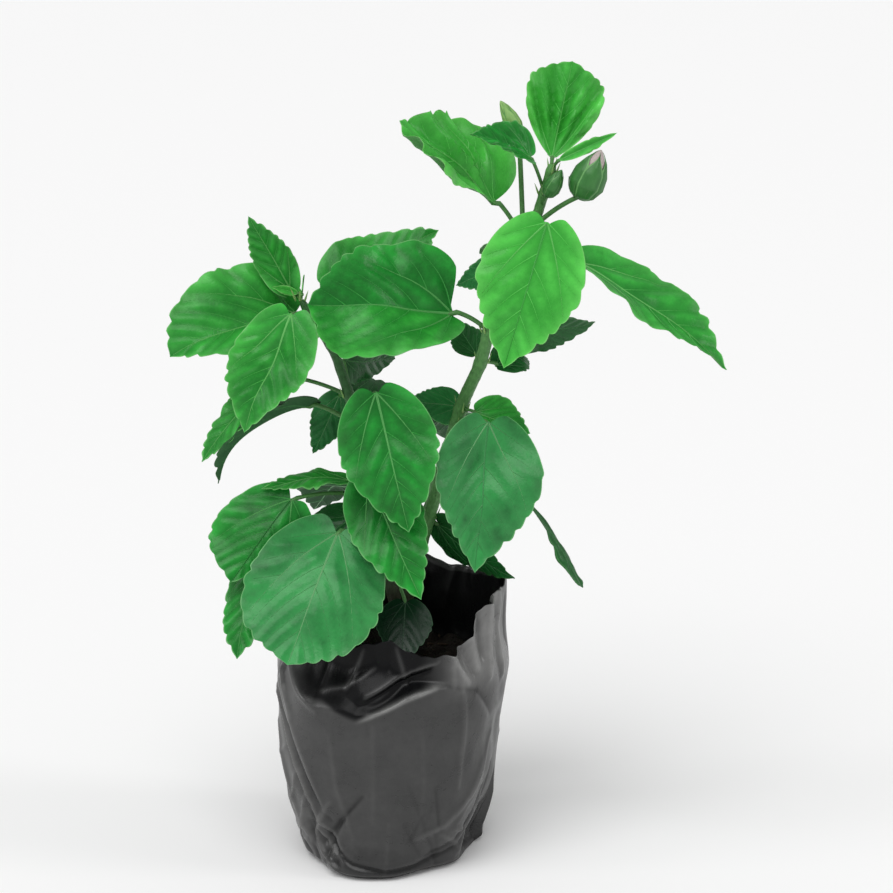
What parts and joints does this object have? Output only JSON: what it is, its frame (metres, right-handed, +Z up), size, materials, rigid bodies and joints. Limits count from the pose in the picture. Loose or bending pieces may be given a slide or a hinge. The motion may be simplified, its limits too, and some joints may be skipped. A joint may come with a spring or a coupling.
{
  "type": "potted hibiscus shrub",
  "caption": "Young two-stemmed hibiscus shrub with broad toothed leaves and flower buds, growing in a crumpled black polythene nursery bag of soil.",
  "frame": {"origin": "centre of the bag's flat underside, on the surface it stands on", "axes": "+Z up, the front of the plant looks along -Y, the taller right-hand shoot leans to +X"},
  "size_m": [0.3002, 0.1791, 0.4469],
  "materials": {
    "polythene": "thin black film, crumpled, semi-gloss",
    "soil": "moist crumbly potting mix, matt",
    "bark": "young green-brown bark",
    "green_stem": "green stem, slightly ribbed",
    "leaf": "satin leaf",
    "young_leaf": "satin young leaf"
  },
  "bodies": {
    "root": {"grow_bag": "polythene", "potting_soil": "soil", "trunk": "bark", "left_bough": "green_stem", "left_upper_bough": "green_stem", "right_bough": "green_stem", "right_upper_bough": "green_stem", "left_lower_leaves": "leaf", "left_middle_leaves": "leaf", "left_tip_leaves": "leaf", "right_lower_leaves": "leaf", "right_middle_leaves": "leaf", "right_upper_leaves": "young_leaf", "right_tip_leaves": "young_leaf"}
  },
  "joints": []
}
